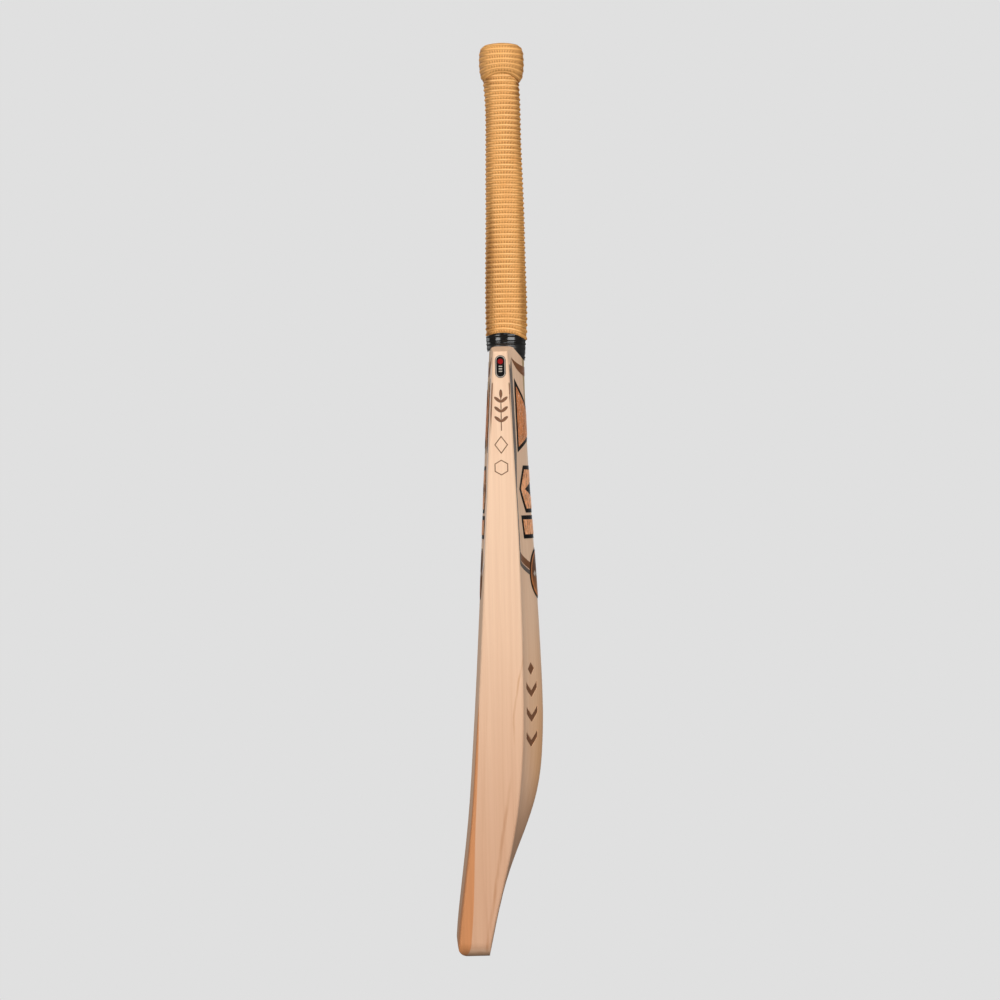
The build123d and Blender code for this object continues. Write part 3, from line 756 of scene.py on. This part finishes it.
def make_collar(s):
    """The collar: the grip's top end rolled over the handle's end, with the same ribs and studs."""
    wall, top = COLLAR_HIGH.x, COLLAR_HIGH.z
    inset_and_drop = (  # in mm, from inside the lip, over the wall, to the hole in the top
        (6.7, 27.5),
        (6.3, 31.6),
        (4.7, 33.4),
        (2.7, 32.0),
        (0.8, 28.0),
        (-0.1, 21.0),
        (0.0, 13.0),
        (0.6, 7.8),
        (2.9, 3.9),
        (6.8, 1.9),
        (9.4, 1.2),
        (10.2, 2.0),
        (10.2, 4.4),
    )
    outline = [Vector((wall - inset * MM, top - drop * MM)) for inset, drop in inset_and_drop]
    pitches = 10
    path = smooth_path(outline, pitches * ROWS_PER_PITCH)
    lip_bow = 1.9 * MM
    lip_reach = 18 * MM
    smooth_from = wall - 4.5 * MM  # nearer the axis, the top has no ribs

    def place(angle, share):
        point, outward = path[round(share * (len(path) - 1))]
        stand = rib_height(s, share * pitches, angle, s.collar_studs) * s.flatter
        on_top = point.y > top - 5 * MM and point.x < smooth_from
        fade = max(0.0, 1 - (smooth_from - point.x) / (2.5 * MM)) if on_top else 1.0
        at = point + outward * (stand * fade)
        fall = max(0.0, 1 - (at.y - path[0][0].y) / lip_reach) ** 2
        height = at.y + lip_bow * math.cos(2 * angle) * fall
        return Vector((at.x * math.cos(angle), AXIS_Y + at.x * math.sin(angle), height)), share * pitches, fade

    collar = wrapped_tube("rolled_collar", s.collar_studs * COLUMNS_PER_STUD, len(path) - 1, place)
    collar.data.materials.append(grip_material(s, "collar_rubber", s.collar_studs, 21 * MM, 0.35))
    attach(collar, "root")
    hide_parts("grip_collar")
    return collar


def finish_handle(s):
    """Materials of the cane sticks, the rubber springs, the twine and the throat binding."""
    cane, spring = cane_material(s), spring_material(s)
    for name in NODES:
        if name.startswith("cane_stick"):
            paint(name, cane)
        if name.startswith("rubber_spring"):
            paint(name, spring)
    paint("twine_binding", twine_material(s))
    paint("throat_binding", binding_material(s))


def finish_prints(s):
    """Materials of the films on the face and the back, and of the label."""
    copper = copper_material(s)
    black = print_material("black_print", s.black, sheen=0.05)
    brown = print_material("brown_print", s.brown, spread=0.25)
    grey = print_material("grey_print", s.grey)
    silver = print_material("silver_print", s.silver, spread=0.2)
    taupe = print_material("taupe_print", s.taupe, spread=0.2)
    for name in NODES:
        if "_inlay_" in name:
            paint(name, copper)
        elif "_panel_" in name or name.endswith("_badge"):
            paint(name, black)
        elif "_frame_" in name:
            paint(name, silver if name.startswith("face") else grey)
        elif "_flash_" in name:
            paint(name, taupe)
        elif name.endswith("_badge_field"):
            low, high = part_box(name)
            paint(name, badge_material(s, name, (low + high) / 2))
        elif name.endswith("_band") or "_diagonal_" in name:
            paint(name, brown)
    white = print_material("label_white", s.white)
    paint("label", print_material("label_black", s.black, gloss=0.2))
    paint("label_ring", white)
    paint("label_bars", white)
    paint("label_dot", print_material("label_red", s.red, gloss=0.2))


def make_camera(s):
    """A level camera square to the right edge, turned a little towards the hitting face."""
    away = Vector((math.cos(s.yaw), -math.sin(s.yaw), 0))
    right = Vector((math.sin(s.yaw), math.cos(s.yaw), 0))
    up = Vector((0, 0, 1))
    leaned_right = right * math.cos(s.roll) - up * math.sin(s.roll)
    leaned_up = up * math.cos(s.roll) + right * math.sin(s.roll)
    data = bpy.data.cameras.new("camera")
    data.sensor_width = 36
    data.lens = data.sensor_width * s.distance / s.field
    camera = bpy.data.objects.new("camera", data)
    bpy.context.scene.collection.objects.link(camera)
    turn = Matrix((leaned_right, leaned_up, away)).transposed()
    aim = Vector((0, s.aim_y, s.aim_z))
    camera.matrix_world = Matrix.Translation(aim + away * s.distance) @ turn.to_4x4()
    bpy.context.scene.camera = camera


def make_light(name, azimuth, distance, height, width, tall, strength):
    """A soft box that faces the handle's axis, so many degrees round from the right edge to the back."""
    data = bpy.data.lights.new(name, "AREA")
    data.shape = "RECTANGLE"
    data.size, data.size_y = width, tall
    data.energy = strength * math.pi * width * tall
    light = bpy.data.objects.new(name, data)
    bpy.context.scene.collection.objects.link(light)
    turn = math.radians(azimuth)
    aim = Vector((0, AXIS_Y, LIGHTS_AIM_Z))
    place = Vector((distance * math.cos(turn), distance * math.sin(turn), height))
    light.location = place
    light.rotation_mode = "QUATERNION"
    light.rotation_quaternion = (place - aim).to_track_quat("Z", "Y")


def backdrop_shader(tree, kind, colour, light):
    """A shader at full strength to the camera, and at another strength as a light."""
    seen = add_node(tree, kind, {"Color": (*colour, 1), "Strength": 1.0})
    felt = add_node(tree, kind, {"Color": (*colour, 1), "Strength": light})
    path = add_node(tree, "LightPath")
    inputs = {0: path.outputs["Is Camera Ray"], 1: felt.outputs[0], 2: seen.outputs[0]}
    return add_node(tree, "MixShader", inputs).outputs[0]


def make_floor(s):
    """A floor of the backdrop's own tone, as a lit sweep of paper looks."""
    deselect_all()
    bpy.ops.mesh.primitive_grid_add(x_subdivisions=40, y_subdivisions=40, size=40)
    floor = bpy.context.object
    floor.name = "floor"
    material = bpy.data.materials.new("floor")
    material.use_nodes = True
    tree = material.node_tree
    tree.nodes.clear()
    add_node(tree, "OutputMaterial", {"Surface": backdrop_shader(tree, "Emission", s.backdrop, s.floor_light)})
    floor.data.materials.append(material)


def make_world(s):
    """An even pale backdrop, dimmer as a light than it looks."""
    world = bpy.data.worlds.new("studio")
    world.use_nodes = True
    tree = world.node_tree
    tree.nodes.clear()
    add_node(tree, "OutputWorld", {"Surface": backdrop_shader(tree, "Background", s.backdrop, s.world_light)})
    bpy.context.scene.world = world


# ---------------------------------------------------------------- operators


class BAT_OT_finish_willow(bpy.types.Operator):
    """Give the blade its willow"""

    bl_idname = "bat.finish_willow"
    bl_label = "Finish willow"

    def execute(self, context):
        paint("blade", willow_material(context.scene.bat_willow))
        return {"FINISHED"}


class BAT_OT_finish_handle(bpy.types.Operator):
    """Give the cane, springs, twine and throat binding their materials"""

    bl_idname = "bat.finish_handle"
    bl_label = "Finish handle"

    def execute(self, context):
        finish_handle(context.scene.bat_handle)
        return {"FINISHED"}


class BAT_OT_make_grip(bpy.types.Operator):
    """Model the ribbed rubber grip"""

    bl_idname = "bat.make_grip"
    bl_label = "Make grip"

    def execute(self, context):
        make_grip(context.scene.bat_grip)
        return {"FINISHED"}


class BAT_OT_make_collar(bpy.types.Operator):
    """Model the collar rolled at the top of the grip"""

    bl_idname = "bat.make_collar"
    bl_label = "Make collar"

    def execute(self, context):
        make_collar(context.scene.bat_grip)
        return {"FINISHED"}


class BAT_OT_finish_prints(bpy.types.Operator):
    """Give the printed films and the label their inks"""

    bl_idname = "bat.finish_prints"
    bl_label = "Finish prints"

    def execute(self, context):
        finish_prints(context.scene.bat_print)
        return {"FINISHED"}


class BAT_OT_make_stage(bpy.types.Operator):
    """Set up the camera, lights, floor and backdrop"""

    bl_idname = "bat.make_stage"
    bl_label = "Make stage"

    def execute(self, context):
        settings = context.scene.bat_stage
        scene = context.scene
        scene.view_settings.view_transform = "Standard"
        scene.view_settings.look = "None"
        make_camera(settings)
        make_world(settings)
        make_floor(settings)
        for light in LIGHTS:
            make_light(*light)
        return {"FINISHED"}


class BAT_PT_parts(bpy.types.Panel):
    """Lists the bat's pieces and their settings"""

    bl_idname = "BAT_PT_parts"
    bl_label = "Cricket bat"
    bl_space_type = "VIEW_3D"
    bl_region_type = "UI"
    bl_category = "Bat"

    def draw(self, context):
        for group, operators in STEPS.items():
            settings = getattr(context.scene, group)
            box = self.layout.box()
            for key in settings.__annotations__:
                box.prop(settings, key)
            for operator in operators:
                box.operator(operator.bl_idname)


# the settings of each step, and the operators that use them
GROUPS = {
    "bat_willow": WillowSettings,
    "bat_handle": HandleSettings,
    "bat_grip": GripSettings,
    "bat_print": PrintSettings,
    "bat_stage": StageSettings,
}
STEPS = {
    "bat_willow": (BAT_OT_finish_willow,),
    "bat_handle": (BAT_OT_finish_handle,),
    "bat_grip": (BAT_OT_make_grip, BAT_OT_make_collar),
    "bat_print": (BAT_OT_finish_prints,),
    "bat_stage": (BAT_OT_make_stage,),
}
CLASSES = (*GROUPS.values(), *(operator for step in STEPS.values() for operator in step), BAT_PT_parts)


def register():
    for cls in CLASSES:
        bpy.utils.register_class(cls)
    for name, group in GROUPS.items():
        setattr(bpy.types.Scene, name, bpy.props.PointerProperty(type=group))


def unregister():
    for name in GROUPS:
        delattr(bpy.types.Scene, name)
    for cls in reversed(CLASSES):
        bpy.utils.unregister_class(cls)


def main():
    """Registers the add-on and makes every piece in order."""
    register()
    bpy.ops.bat.finish_willow()
    bpy.ops.bat.finish_handle()
    bpy.ops.bat.make_grip()
    bpy.ops.bat.make_collar()
    bpy.ops.bat.finish_prints()
    bpy.ops.bat.make_stage()


if __name__ == "__main__":
    main()
